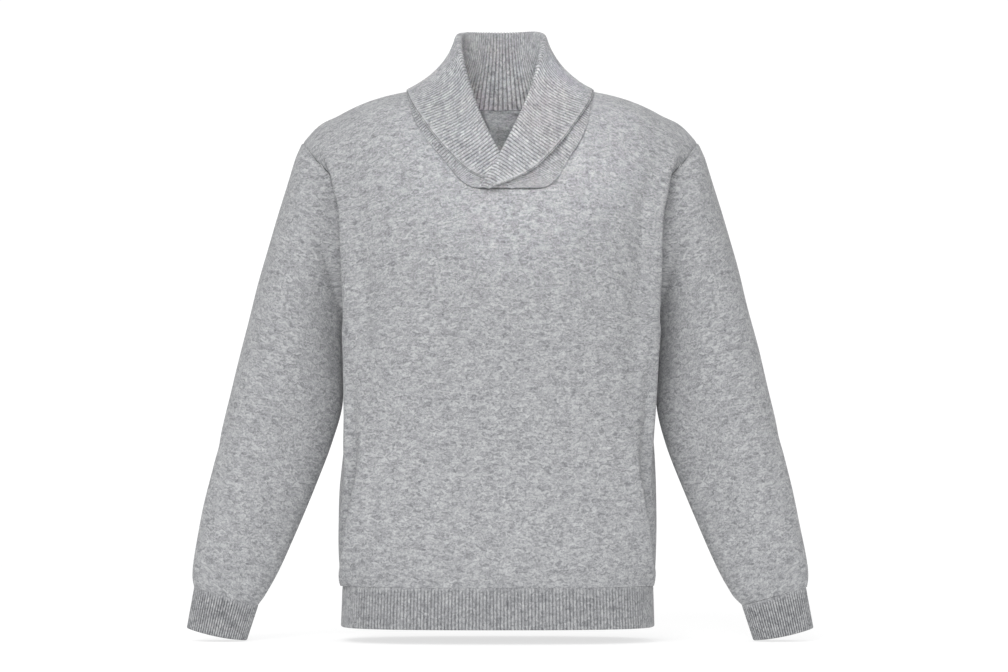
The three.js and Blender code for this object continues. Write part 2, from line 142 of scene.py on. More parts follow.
# The drape fold down each side: its place between the middle (0) and the side seam (1), how far
# it stands out and how far it reaches to each side.
DRAPE = {
    "front": table(
        "z place height reach",
        (-520, 0.74, 0, 0.18),
        (-480, 0.74, 5, 0.19),
        (-440, 0.75, 10, 0.20),
        (-360, 0.77, 17, 0.20),
        (-290, 0.76, 18, 0.18),
        (-220, 0.71, 17, 0.13),
        (-160, 0.655, 16, 0.10),
        (-125, 0.65, 15, 0.095),
        (-100, 0.64, 11, 0.09),
        (-82, 0.63, 6, 0.09),
        (-66, 0.62, 0, 0.09),
    ),
    "back": table(
        "z place height reach",
        (-600, 0.80, 0, 0.20),
        (-500, 0.74, 6, 0.22),
        (-380, 0.74, 14, 0.22),
        (-280, 0.72, 14, 0.19),
        (-180, 0.60, 8, 0.13),
        (-100, 0.56, 0, 0.12),
    ),
}
# The ridge down each side, on the panels' cloth: the height above the hem rib, how far across it
# lies, how far it stands out and how deep the hollow beside it is.
SIDE_RIDGE = table(
    "up across height hollow",
    (0, 228, 4.0, 3),
    (8, 223, 6.0, 5),
    (46, 205.5, 8.5, 9),
    (73, 198, 9, 11),
    (106, 189.5, 8, 12),
    (145, 182.5, 6, 12),
    (190, 180, 3, 9),
    (250, 182, 0, 4),
    (310, 184, 0, 0),
)
# The neckline from the shoulder seam (0) to the middle (1).
NECKLINE = {
    "front": table(
        "along x z",
        (0.00, NECK_SIDE_X, 1.2),
        (0.20, 111, -35),
        (0.35, 98, -63.5),
        (0.50, 77, -92),
        (0.63, 61.5, -114),
        (0.75, 43, -125.5),
        (1.00, 0, NECKLINE_Z),
    ),
    "back": table(
        "along x z",
        (0.00, NECK_SIDE_X, 1.2),
        (0.25, 95, -8),
        (0.60, 52, -19),
        (1.00, 0, -22),
    ),
}
# The collar from the middle of the back (0) to its front end (1): its roll line, the edge of its
# fall and the radius that it turns over on.
COLLAR = table(
    "at roll_x roll_y roll_z edge_x edge_y edge_z turn",
    (0.00, 0, 64, 80, 0, 96, -25, 6),
    (0.12, 26, 59, 80, 50, 89, -22, 5.4),
    (0.24, 45.5, 41, 79, 94, 64, -11, 4.8),
    (0.36, 53.5, 12, 72.5, 118, 18, 4.5, 4.6),
    (0.48, 50.5, -20, 50, 117.5, -29, -5.5, 4.6),
    (0.60, 41, -50, 15, 107, -60, -24.5, 4.8),
    (0.72, 27.6, -74, -22, 84, -88, -56.5, 4.6),
    (0.82, 16.4, -90, -46, 63.5, -101, -80, 4.2),
    (0.91, 0.4, -103, -79, 37, -110.5, -103.5, 3.8),
    (1.00, -26, -113, -124.5, -15, -117.5, -126, 3.4),
)
# The sleeve from the armhole down: its underarm line, its outer line, its half depth and how far
# forward it hangs.
SLEEVE = table(
    "ring inner_x inner_z outer_x outer_z depth y",
    (1, 194.6, -304, 263, -88, 72, 4),
    (2, 196, -309, 273, -120, 71, 3),
    (3, 197, -315, 287, -165, 69, 2),
    (4, 198, -324, 301, -214, 66, 1),
    (5, 199, -338, 314, -264, 63, 0),
    (6, 200, -361, 327, -314, 60, -1),
    (7, 202, -405, 340, -368, 56, -3),
    (8, 216, -453, 353, -421, 52, -5),
    (9, 238, -510, 367, -480, 47, -8),
    (10, 262, -567, 380, -536, 42, -11),
    (11, 284, -615, 390, -587, 37, -14),
    (12, 299, -642, 393, -616, 30, -16),
    (13, 308.5, -655.5, 391, -632, 23, -17),
)
CUFF = table(
    "ring inner_x inner_z outer_x outer_z depth y",
    (0, 308.6, -655.7, 391, -632.2, 23, -17),
    (1, 323, -700, 400, -684, 21, -19),
)

# Creases and soft ridges, on each piece's own cloth in millimetres: across is measured from the
# middle of the panel, or from the top line of the sleeve towards the back, and up from the rib.
# A ridge has a height over 0 and a trough one under 0. bend is how far it bows to one side.
FRONT_CREASES = table(
    "across up across_end up_end height reach bend",
    (-205, 42, -184, 136, 2.2, 3.6, 3),
    (-226, 2, -205, 46, 2.0, 3.2, 1),
    (204, 51, 181, 151, 2.4, 3.6, -3),
    (224, 8, 203, 56, 2.0, 3.2, -2),
    (204, 0, 202, 42, -1.8, 2.6, -1),
    (-187, 0, -190, 22, -1.4, 2.6, 0),
    (-198, 0, -200, 30, -1.4, 2.6, 1),
    (-193, 2, -195, 26, 1.0, 2.6, 0),
    (-120, 0, -112, 46, -0.8, 9, 2),
    (-62, 0, -66, 34, -0.7, 8, -1),
    (24, 0, 30, 40, -0.7, 9, 1),
    (98, 0, 92, 52, -0.8, 10, -2),
    (-196, 300, -166, 180, 1.6, 12, 6),
    (190, 310, 168, 170, 1.4, 12, -6),
    (-150, 420, -196, 330, -1.6, 14, -8),
    (146, 430, 190, 350, -1.4, 14, 7),
)
BACK_CREASES = table(
    "across up across_end up_end height reach bend",
    (-208, 4, -186, 120, 1.6, 10, 3),
    (-228, 0, -210, 90, -2.0, 8, -3),
    (204, 8, 180, 140, 1.6, 10, -4),
    (224, 0, 204, 92, -2.0, 8, 3),
    (-96, 0, -88, 60, -0.9, 10, 2),
    (-30, 0, -26, 38, -0.7, 8, 1),
    (56, 0, 62, 44, -0.8, 9, -1),
    (118, 0, 112, 50, -0.8, 9, -2),
    (-150, 430, -200, 320, -1.8, 15, -8),
    (150, 420, 196, 330, -1.8, 15, 8),
    (-70, 560, 20, 548, -1.0, 12, 5),
)
SLEEVE_CREASES = table(
    "across up across_end up_end height reach bend",
    (-132, 70, -70, 92, -1.6, 9, 5),
    (-120, 120, -52, 150, 1.4, 12, 6),
    (-140, 210, -60, 226, -1.8, 12, 8),
    (-128, 252, -40, 292, 1.5, 14, 9),
    (-30, 196, 60, 214, -1.0, 14, -6),
    (-82, 2, -106, 46, -2.2, 6, 0),
    (-60, 0, -56, 36, -0.9, 6, -1),
    (-28, 0, -30, 44, -0.8, 7, 1),
    (12, 0, 14, 38, -0.9, 7, 1),
    (54, 0, 50, 42, -0.9, 6, -1),
    (88, 0, 84, 36, -0.8, 6, 1),
    (130, 90, 60, 120, -1.6, 10, -5),
    (140, 220, 50, 250, -1.8, 13, -8),
    (132, 300, 70, 330, 1.4, 14, -6),
)

# How far from a seam, a free edge or the grooved edge of the fall the first lines of a net lie.
SEAM_LINES = (0.0, 0.12, 0.9, 1.8, 3.0, 4.5)
EDGE_LINES = (0.0, 0.4, 0.9, 1.6, 2.8)
FALL_EDGE_LINES = (0.0, 0.3, 1.4, 2.5, 3.6)


def unit(vectors):
    return vectors / np.linalg.norm(vectors, axis=-1, keepdims=True)


def mix(low, high, share):
    return low + (high - low) * share


def spline(start, end, leave, arrive, t):
    """A cubic from start to end with its slopes at both."""
    return (start * (2 * t**3 - 3 * t**2 + 1) + leave * (t**3 - 2 * t**2 + t)
            + end * (3 * t**2 - 2 * t**3) + arrive * (t**3 - t**2))


def read(sizes, key, place, column):
    """A column of a table at places along another, on a smooth curve."""
    keys, values = sizes[key], sizes[column]
    place = np.asarray(place, float)
    before = np.maximum(np.arange(len(keys)) - 1, 0)
    after = np.minimum(np.arange(len(keys)) + 1, len(keys) - 1)
    slopes = (values[after] - values[before]) / (keys[after] - keys[before])
    i = np.clip(np.searchsorted(keys, place) - 1, 0, len(keys) - 2)
    span = keys[i + 1] - keys[i]
    t = np.clip((place - keys[i]) / span, 0, 1)
    return spline(values[i], values[i + 1], slopes[i] * span, slopes[i + 1] * span, t)


def body_level(face, level):
    """The rounded oblongs of the body: level 0 is at the hem rib, 1 at the underarm and 2 at the
    shoulder seam, and each runs from the middle to the angle where a seam ends it."""
    level = np.asarray(level, float)
    below = level <= 1
    rise = np.clip(level - 1, 0, 1)
    z = mix(HEM_TOP_Z, UNDERARM_Z, np.minimum(level, 1))
    square = np.where(below, read(BODY, "z", z, "square"), read(CHEST, "rise", rise, "square"))
    cut = np.clip(read(CHEST, "rise", rise, face + "_cut"), 0, 1)
    seam = np.where(below, math.pi / 2, np.arccos(cut ** (square / 2)))
    half = read(CHEST, "rise", rise, face + "_x") / np.sin(seam) ** (2 / square)
    depth = np.where(below, read(BODY, "z", z, face), read(CHEST, "rise", rise, face))
    seam_z = mix(UNDERARM_Z, SHOULDER["z"], (1 - np.cos(math.pi * rise)) / 2)
    return {
        "square": square,
        "seam": seam,
        "half": np.where(below, read(BODY, "z", z, "half"), half),
        "depth": depth * (-1 if face == "front" else 1),
        "seam_z": np.where(below, z, seam_z),
        "middle_z": np.where(below, z, read(CHEST, "rise", rise, "z")),
        "shift": SHOULDER["y"] * rise,
        "sway": np.where(below, read(BODY, "z", z, "sway"), read(CHEST, "rise", rise, "sway")),
    }


def level_z(row, angle):
    """Heights along one level of the body, which falls away late towards its seam."""
    share = np.sin(angle) / np.sin(row["seam"])
    reach = share ** (2 / row["square"])
    over = np.clip((reach - 0.81) / 0.22, 0, 1)
    lift = np.clip(2 * row["shift"] / SHOULDER["y"] - 1, 0, 1) ** 2
    round_up = SHOULDER_ROUND * lift * np.sin(math.pi * over) ** 2
    return mix(row["middle_z"], row["seam_z"], reach**SHOULDER_CURVE) + round_up


def body_point(face, side, level):
    """Points of the body: side runs from -1 at one seam through 0 in the middle to 1."""
    row = body_level(face, level)
    angle = np.abs(side) * row["seam"]
    sine, cosine = np.sin(angle), np.maximum(np.cos(angle), 0)
    hand = np.sign(side)
    z = level_z(row, angle)
    fold = DRAPE[face]
    away = (angle / (math.pi / 2) - read(fold, "z", z, "place")) / read(fold, "z", z, "reach")
    away = np.where(away > 0, away * FOLD_STEEPNESS, away)
    out = np.maximum(read(fold, "z", z, "height"), 0) * np.cos(np.clip(away, -1, 1) * math.pi / 2) ** 2
    out = np.where((z > fold["z"][0]) & (z < fold["z"][-1]), out, 0)
    facing = -1 if face == "front" else 1
    x = hand * (row["half"] * sine ** (2 / row["square"]) + sine * out) + row["sway"]
    y = row["shift"] + row["depth"] * cosine ** (2 / row["square"]) + facing * cosine * out
    return np.stack([x, y, z], axis=-1)


def place_on_body(face, x, z):
    """The side and level of points that are given as the front or the back shows them."""
    x, z = np.broadcast_arrays(np.asarray(x, float), np.asarray(z, float))
    low, high = np.ones(x.shape), np.full(x.shape, 2.0)

    def angle_at(row):
        reach = np.minimum(np.abs(x) / row["half"], 1)
        return np.minimum(np.arcsin(reach ** (row["square"] / 2)), row["seam"])

    for _ in range(40):
        level = (low + high) / 2
        row = body_level(face, level)
        under = level_z(row, angle_at(row)) < z
        low, high = np.where(under, level, low), np.where(under, high, level)
    row = body_level(face, high)
    return np.sign(x) * angle_at(row) / row["seam"], high


def depth_share(z):
    """How far down the front neckline a height is: 0 at its straight sides, 1 at its bottom."""
    return np.clip((NECKLINE_SIDE_Z - z) / (NECKLINE_SIDE_Z - NECKLINE_Z), 0, 1)


def neckline_place(face, along, hand):
    """The side and level of places along a neckline, on one side of the body."""
    z = read(NECKLINE[face], "along", along, "z")
    lean = NECKLINE_LEAN * depth_share(z) if face == "front" else 0
    return place_on_body(face, hand * read(NECKLINE[face], "along", along, "x") + lean, z)


def spaced(length, step, start=(0.0,), end=(0.0,)):
    """Places from 0 to 1 along a length, a step apart, and closer together at a seam or an edge."""
    first, last = max(start), length - max(end)
    between = np.linspace(first, last, max(round((last - first) / step), 1) + 1)[1:-1]
    places = [*start, *between, *(length - np.array(end[::-1]))]
    return np.array(places) / length


def runs(points, axis):
    """Distances along the lines of a net, from their start."""
    steps = np.linalg.norm(np.diff(points, axis=axis), axis=-1)
    start = np.zeros_like(np.take(steps, [0], axis=axis))
    return np.concatenate([start, np.cumsum(steps, axis=axis)], axis=axis)


def square_to(points, ring=False):
    """Directions square to a net of points, out of the cloth."""
    wide = np.concatenate([points[:, -2:-1], points, points[:, 1:2]], axis=1) if ring else points
    across = np.gradient(wide, axis=1)
    if ring:
        across = across[:, 1:-1]
    normal = np.cross(across, np.gradient(points, axis=0))
    return normal / np.maximum(np.linalg.norm(normal, axis=-1, keepdims=True), 1e-9)


def creased(creases, across, up):
    """The height of the creases and soft ridges over cloth at places given in millimetres."""
    height = np.zeros(across.shape)
    for a, b, c, d, rise, reach, bend in zip(*creases.values()):
        length = math.hypot(c - a, d - b)
        ax, ay = (c - a) / length, (d - b) / length
        share = ((across - a) * ax + (up - b) * ay) / length
        inside = np.clip(share, 0, 1)
        off = (across - a) * -ay + (up - b) * ax - bend * 4 * inside * (1 - inside)
        past = (share - inside) * length
        taper = np.clip(np.minimum(share + 0.12, 1.12 - share) / 0.4, 0, 1)
        taper = taper * taper * (3 - 2 * taper)
        height += rise * taper * np.exp(-(off / reach) ** 2 - (past / reach) ** 2)
    return height


def side_ridge(across, up, share):
    """Cloth that lies flat to a ridge down each side, then falls away into a shallow hollow."""
    away = np.abs(across) - read(SIDE_RIDGE, "up", up, "across")
    ridge = np.where(away < 0, beside(away, 20), beside(away, 6))
    hollow = beside(away - 17, 9.5)
    height, depth = (read(SIDE_RIDGE, "up", up, column) for column in ("height", "hollow"))
    return share * (height * ridge - depth * hollow)


def puckered(across, away, depth, turn):
    """Small uneven puckers where a rib draws the cloth in, away from it by some millimetres."""
    waves = (np.sin(across / 3.4 + turn) + 0.8 * np.sin(across / 5.3 + 2.1 * turn)
             + 0.7 * np.sin(across / 9.1 + 0.7 + turn))
    uneven = 0.6 + 0.4 * np.sin(across / 41 + turn)
    return depth * waves / 2.5 * uneven * np.exp(-np.maximum(away, 0) / 15)


def rested(across, up, height, turn):
    """The slight unevenness of soft cloth that nothing stretches."""
    return height * (np.sin(across / 27 + up / 61 + turn) * np.sin(up / 37 - across / 83 + 2 * turn)
                     + 0.6 * np.sin(across / 15 - up / 44 + 3 * turn) * np.sin(up / 23 + turn))


def ribbed(across, pitch, depth):
    """Rounded ribs with narrow valleys between them."""
    return depth * (np.abs(np.cos(math.pi * across / pitch)) ** 0.55 - 1)


def rib_faces(across, pitch, share, soft, sizes):
    """The heights of the two faces of ribbed cloth: a ridge of one is a valley of the other. share
    is how fully the ribs stand out, and soft moves both faces."""
    depth = sizes.rib_depth / MM * share
    outside = ribbed(across, pitch, depth) + soft
    inside = soft - sizes.rib_wall / MM - ribbed(across + pitch / 2, pitch, depth)
    return outside, inside


def beside(away, reach):
    """1 on a line, fading out at each side of it."""
    return np.exp(-(away / reach) ** 2)


def pressed(away, depth, reach):
    """How a seam draws cloth in, at a distance from it."""
    return -depth * beside(away, reach)


def rounded(away, depth, reach):
    """How the free edge of knitted cloth turns in."""
    return -depth * np.clip(1 - away / reach, 0, 1) ** 2


def cloth(name, base, normals, outside, inside, places, node, material,
          ring=False, bulge=(0, 0), inner_shift=0.0, ribs=0.0, groove=0.0):
    """A piece of cloth in place of a node of the frame. base is the net that it follows, outside and
    inside the heights of its two faces over that net, and places the net's places on the cloth, all
    in millimetres. bulge is how far its first and last edges round out, and inner_shift how far the
    pattern of the inner face lies beside that of the outer one. ribs is how fully the ribs stand
    out, which also sets how much shade the material paints into their valleys, and the last argument
    is how strongly the material paints shade into a channel of the outer face, as a dark contact line."""
    across, up = places
    outer = base + normals * outside[..., None]
    inner = base + normals * inside[..., None]
    start = (outer[:1] + inner[:1]) / 2 + unit(base[:1] - base[1:2]) * bulge[0]
    end = (outer[-1:] + inner[-1:]) / 2 + unit(base[-1:] - base[-2:-1]) * bulge[1]
    net = np.concatenate([start, outer, end, inner[::-1], start])
    shares = [np.broadcast_to(share, across.shape) for share in (ribs, groove)]
    flat = np.stack([across, up, *shares], axis=-1)
    behind = flat[::-1] * [1, 1, 1, 0] + [inner_shift, 0, 0, 0]
    flat = np.concatenate([flat[:1], flat, flat[-1:], behind, flat[:1]])
    if not ring:
        # The outer and the inner face meet on the middle of the wall at each side.
        sides = []
        for column in (0, -1):
            middle = (outer[:, column] + inner[:, column]) / 2
            side = [start[:, column], middle, end[:, column], middle[::-1], start[:, column]]
            sides.append(np.concatenate(side)[:, None])
        net = np.concatenate([sides[0], net, sides[1]], axis=1)
        flat = np.concatenate([flat[:, :1], flat, flat[:, -1:]], axis=1)
    rows, columns = net.shape[:2]
    shell = bmesh.new()
    bmesh.ops.create_grid(shell, x_segments=columns - 1, y_segments=rows - 1, size=0.5)
    mesh = bpy.data.meshes.new(name)
    shell.to_mesh(mesh)
    shell.free()
    spots = np.empty(len(mesh.vertices) * 3)
    mesh.vertices.foreach_get("co", spots)
    spots = spots.reshape(-1, 3)
    column = np.rint((spots[:, 0] + 0.5) * (columns - 1)).astype(int)
    row = np.rint((spots[:, 1] + 0.5) * (rows - 1)).astype(int)
    mesh.vertices.foreach_set("co", (net[row, column] * MM).ravel())
    corner = np.empty(len(mesh.loops), int)
    mesh.loops.foreach_get("vertex_index", corner)
    mesh.uv_layers.new(name="cloth").data.foreach_set("uv", (flat[row, column, :2][corner] * MM).ravel())
    # The rib and channel shares go onto the points; the material paints shade into rib valleys and channels
    # by them.
    for i, shared in ((2, "ribs"), (3, "groove")):
        mesh.attributes.new(shared, "FLOAT", "POINT").data.foreach_set("value", flat[row, column, i])
    shell = bmesh.new()
    shell.from_mesh(mesh)
    open_ends = [v for v in shell.verts if v.is_boundary]
    bmesh.ops.remove_doubles(shell, verts=open_ends, dist=0.02 * MM)
    shell.to_mesh(mesh)
    shell.free()
    mesh.polygons.foreach_set("use_smooth", np.ones(len(mesh.polygons), bool))
    mesh.materials.append(material)
    mesh.update()
    piece = bpy.data.objects.new(name, mesh)
    bpy.context.collection.objects.link(piece)
    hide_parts(node)
    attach(piece, "root")
    return piece


def panel(face, sizes, material):
    """The front or back panel, whose columns fan in from the sides to the neckline."""
    hand = 1 if face == "front" else -1
    even = np.linspace(0, 1, 400)
    half_girth = runs(body_point(face, even, np.ones(400))[None], 1)[0]
    to_neck = spaced(half_girth[-1] * NECK_SHARE, 3.0)
    to_side = spaced(half_girth[-1] * (1 - NECK_SHARE), 3.2, end=SEAM_LINES)
    half = np.concatenate([to_neck * NECK_SHARE, mix(NECK_SHARE, 1, to_side[1:])])
    column = np.concatenate([-half[:0:-1], half])
    share = np.abs(column)
    foot_side = hand * np.sign(column) * np.interp(share * half_girth[-1], half_girth, even)
    at_neck = share < NECK_SHARE - 1e-6
    top_side, top_level = np.zeros(column.shape), np.full(column.shape, 2.0)
    for sign in (-1, 1):
        here = at_neck & (column > 0 if sign > 0 else column <= 0)
        top_side[here], top_level[here] = neckline_place(face, 1 - share[here] / NECK_SHARE, sign * hand)
    out = ~at_neck
    x = mix(NECK_SIDE_X, SHOULDER["x"], (share[out] - NECK_SHARE) / (1 - NECK_SHARE))
    top_side[out] = place_on_body(face, hand * np.sign(column[out]) * x, SHOULDER_CROWN_Z)[0]
    low = spaced(UNDERARM_Z - HEM_TOP_Z, 3.1, start=SEAM_LINES)
    climb = spaced(270, 3.1, end=SEAM_LINES)
    side = np.concatenate([np.repeat(foot_side[None], len(low), 0),
                           mix(foot_side[None], top_side[None], climb[1:, None])])
    level = np.concatenate([np.repeat(low[:, None], len(column), 1),
                            mix(1, top_level[None], climb[1:, None])])
    points = body_point(face, side, level)

    # Places on the cloth: across from the middle line, and up from the hem rib.
    middle = points[:, len(column) // 2]
    flat_levels = np.linspace(0, 2, 241)
    flat_sides = np.linspace(0, 1, 161) ** 3
    net = body_point(face, *np.broadcast_arrays(flat_sides[None], flat_levels[:, None]))
    girths, heights = runs(net, 1), runs(net[:, :1], 0)[:, 0]
    row = np.clip(level / 2 * 240, 0, 239.999)
    spot = np.clip(np.cbrt(np.abs(side)) * 160, 0, 159.999)
    r, s = row.astype(int), spot.astype(int)
    a, b = row - r, spot - s
    across = ((1 - a) * ((1 - b) * girths[r, s] + b * girths[r, s + 1])
              + a * ((1 - b) * girths[r + 1, s] + b * girths[r + 1, s + 1])) * np.sign(side) * hand
    up = np.interp(level, flat_levels, heights)

    along, climbed = runs(points, 1), runs(points, 0)
    to_side = np.minimum(along, along[:, -1:] - along)
    to_top = climbed[-1:] - climbed
    creases = FRONT_CREASES if face == "front" else BACK_CREASES
    turn = 0.4 if face == "front" else 2.3
    height = (creased(creases, across, up) + side_ridge(across, up, 1.0 if face == "front" else 0.6)
              + puckered(across, climbed, sizes.pucker_depth / MM, turn)
              + rested(across, up, sizes.unevenness / MM, turn))
    calm = np.clip(np.minimum(to_side, to_top) / 14, 0, 1)
    height = height * calm
    for away, share in ((to_side, 1.0), (climbed, 0.12), (to_top, 0.3)):
        height = height + pressed(away, share * sizes.seam_depth / MM, sizes.seam_reach / MM)
    height = height + pressed(to_side, SEAM_LINE, SEAM_LINE_REACH) * np.clip((level - 1) * 4, 0, 1)
    # At the side and shoulder seams the cloth is square to the other panel, a seam gap away.
    shoulder = np.where(at_neck, 1e3, 0)[None] + to_top
    side_seam = np.where(level > 1, 1e3, 0) + to_side
    joined = np.minimum(shoulder, side_seam)
    normals = square_to(points)
    normals[..., 1] *= np.clip(joined / JOIN_REACH, 0, 1)
    by_sleeve = np.clip((level - 1.5) / 0.15, 0, 1) * np.clip(1 - to_side / JOIN_REACH, 0, 1)
    normals[..., 0] *= 1 - by_sleeve
    normals = unit(normals)
    points[..., 1] += SEAM_GAP / 2 * (-1 if face == "front" else 1)
    piece = cloth(face + "_panel_knit", points, normals, height, height - sizes.knit_wall / MM,
                  (across, up), face + "_panel", material)
    return piece


def armhole(angle, hand):
    """One armhole, from the underarm over the front and down the back, as if on the wearer's left."""
    turn = np.minimum(angle, 2 * math.pi - angle) / math.pi
    ahead, behind = (body_point(face, np.full_like(turn, hand), 1 + turn) for face in ("front", "back"))
    points = np.where((angle <= math.pi)[..., None], ahead, behind) * [hand, 1, 1]
    points[..., 0] += mix(0.4, CLOSE_GAP, np.clip(5 * turn - 2, 0, 1)) + 0.9 * np.clip(10 * turn - 9, 0, 1)
    return points


def tube_point(sizes, angle, ring, skew=0.0):
    """Points of a sleeve or cuff, from the underarm line over the front, the outer line and the back.
    skew moves the fullest part towards the outer line."""
    inner_x, inner_z, outer_x, outer_z, depth, y = (
        read(sizes, "ring", ring, column) for column in list(sizes)[1:])
    share = (1 - np.cos(angle)) / 2
    return np.stack([mix(inner_x, outer_x, share), y - depth * np.sin(angle - skew * np.sin(angle)),
                     mix(inner_z, outer_z, share)], axis=-1)


def sleeve_point(angle, ring, hand):
    skew = SLEEVE_SKEW * (1 - (np.maximum(ring, 1) / 13) ** 3)
    points = tube_point(SLEEVE, angle, np.maximum(ring, 1), skew)
    ease = LEFT_SLEEVE_EASE if hand > 0 else 0
    lower_arm = np.clip((ring - 6) / 2, 0, 1) * np.clip(13 - ring, 0, 1)
    points[..., 0] -= ease * (1 + np.cos(angle)) / 2 * lower_arm
    first = tube_point(SLEEVE, angle, np.ones_like(ring), SLEEVE_SKEW)
    slope = (tube_point(SLEEVE, angle, np.full_like(ring, 1.1), SLEEVE_SKEW) - first) / 0.1
    start = armhole(angle, hand)
    cap = spline(start, first, first - start, slope, np.clip(ring, 0, 1)[..., None])
    return np.where((ring < 1)[..., None], cap, points)


def sleeve(hand, sizes, material):
    """One sleeve, set into its armhole and drawn in a little at the cuff."""
    # The steps are even in number, so that one line runs along the top of the sleeve.
    around = spaced(400, 3.55, start=SEAM_LINES, end=SEAM_LINES)
    if hand > 0:
        around = 1 - around
    samples = np.linspace(0, 13, 261)
    length = runs(sleeve_point(np.full(261, math.pi), samples, hand)[:, None], 0)[:, 0]
    down = np.interp(spaced(length[-1], 3.3, start=SEAM_LINES, end=SEAM_LINES) * length[-1], length, samples)
    angle, ring = np.broadcast_arrays(2 * math.pi * around[None], down[:, None])
    points = sleeve_point(angle, ring.copy(), hand)
    points[..., 0] *= hand

    # Places on the cloth: up from the cuff along the arm, and round it from the top line.
    lean = math.radians(14)
    arm = np.array([hand * math.sin(lean), 0, -math.cos(lean)])
    aside = np.array([hand * math.cos(lean), 0, math.sin(lean)])
    reached = points @ arm
    up = reached.max() - reached
    centre = (points.max(1) + points.min(1)) / 2
    q = points @ aside - (centre @ aside)[:, None]
    p = points[..., 1] - centre[:, None, 1]
    girth = runs(points, 1)[:, -1:]
    radius = np.clip(girth / (2 * math.pi), 0, 76)
    across = np.arctan2(p, q) * radius
    across[:, 0], across[:, -1] = across[:, 1] * 1.02, across[:, -2] * 1.02

    along, climbed = runs(points, 1), runs(points, 0)
    to_seam = np.minimum(along, along[:, -1:] - along)
    to_cuff = climbed[-1:] - climbed
    turn = 1.1 if hand > 0 else 3.7
    stretch = 1.0 if hand > 0 else 1.07
    height = (creased(SLEEVE_CREASES, across * stretch, up * stretch)
              + puckered(across, to_cuff, sizes.pucker_depth / MM, turn)
              + rested(across, up, sizes.unevenness / MM, turn))
    height = height * np.clip(np.minimum(climbed / 30, to_seam / 10 + 0.3), 0, 1)
    valley = climbed / VALLEY_REACH
    height = height - VALLEY_DEPTH * np.sin(angle) ** 2 * valley * np.exp(1 - valley)
    for away, share in ((climbed, 0.9), (to_cuff, 0.12), (to_seam, 1.0)):
        height = height + pressed(away, share * sizes.seam_depth / MM, sizes.seam_reach / MM)
    height = height + pressed(climbed, SEAM_LINE, SEAM_LINE_REACH)
    height[:, -1] = height[:, 0]
    # At the armhole the cloth is square to the seam, so that it stays clear of the panels.
    normals = square_to(points, ring=True)
    past_join = np.clip(climbed / JOIN_REACH, 0, 1)
    normals[..., 0] *= past_join
    shoulder = [hand * SHOULDER["x"], SHOULDER["y"], SHOULDER["z"]]
    from_shoulder = np.linalg.norm(points[:1] - shoulder, axis=-1)
    normals[..., 1] *= mix(np.clip(from_shoulder / JOIN_REACH, 0, 1), 1, past_join)
    normals = unit(normals)
    side = "left" if hand > 0 else "right"
    piece = cloth(f"sleeve_{side}_knit", points, normals, height, height - sizes.knit_wall / MM,
                  (across, up), f"sleeve_{side}", material, ring=True)
    return piece


def even_places(line, count):
    """Places along a closed or open line of points, evenly spaced by length, as shares of its samples."""
    length = runs(line[None], 1)[0]
    return np.interp(np.linspace(0, length[-1], count), length, np.linspace(0, 1, len(line))), length[-1]


def hem_ring(share, z, spread):
    """One ring of the hem rib, from the wearer's right side over the front, in shares of a turn."""
    ahead = share <= 0.5
    side = np.where(ahead, 4 * share - 1, 3 - 4 * share)
    front = body_point("front", side, np.zeros_like(side))
    back = body_point("back", side, np.zeros_like(side))
    points = np.where(ahead[..., None], front, back)
    points[..., 0] *= 1 + spread / BODY["half"][0]
    points[..., 1] *= 1 + spread / BODY["front"][0]
    points[..., 2] = z
    return points


def rib_net(ring_at, rows, pitch):
    """A net of a ribbed tube, with its ribs evenly spaced: ring_at gives a ring's points at shares
    of a turn and a share of its height."""
    samples = np.linspace(0, 1, 4001)
    girth = even_places(ring_at(samples, 0.5), 2)[1]
    ribs = round(girth / pitch)
    net = []
    for row in rows:
        places, _ = even_places(ring_at(samples, row), ribs * COLUMNS_A_RIB + 1)
        net.append(ring_at(places, row))
    across = np.linspace(0, ribs * pitch, ribs * COLUMNS_A_RIB + 1)
    return np.array(net), np.repeat(across[None], len(rows), 0)


def rib_tube(name, net, across, pitch, sizes, material, node, plain=1.0):
    """The cloth of a ribbed tube, sewn on at its first ring and free at its last. plain is how fully
    its ribs stand out at each place."""
    down = runs(net, 0)
    soft = (pressed(down, 0.15 * sizes.seam_depth / MM, sizes.seam_reach / MM)
            + rounded(down[-1:] - down, 0.4, 1.8) + rested(across, down, 0.25, 1.3))
    soft[:, -1] = soft[:, 0]
    ribs = np.clip(0.1 + down / 7, 0, 1) * plain
    outside, inside = rib_faces(across, pitch, ribs, soft, sizes)
    inside = inside - rounded(down[-1:] - down, 0.4, 1.8)
    return cloth(name, net, square_to(net, ring=True), outside, inside, (across, down.max() - down),
                 node, material, ring=True, bulge=(0, 0.7), inner_shift=pitch / 2, ribs=ribs)


def hem(sizes, material):
    top = HEM_TOP_Z - CLOSE_GAP

    def ring_at(share, down):
        return hem_ring(1 - share, mix(top, HEM_BOTTOM_Z, down), mix(-0.5, 1.5, down))

    pitch = sizes.hem_rib_pitch / MM
    rows = spaced(top - HEM_BOTTOM_Z, 7.0, start=SEAM_LINES, end=EDGE_LINES)
    net, across = rib_net(ring_at, rows, pitch)
    # The ribs flatten out where the hem turns to the side seams.
    to_side = BODY["half"][0] - np.abs(net[..., 0])
    plain = np.clip((to_side - 2) / 22, 0.08, 1)
    piece = rib_tube("hem_rib_knit", net, across, pitch, sizes, material, "hem_rib", plain)
    return piece


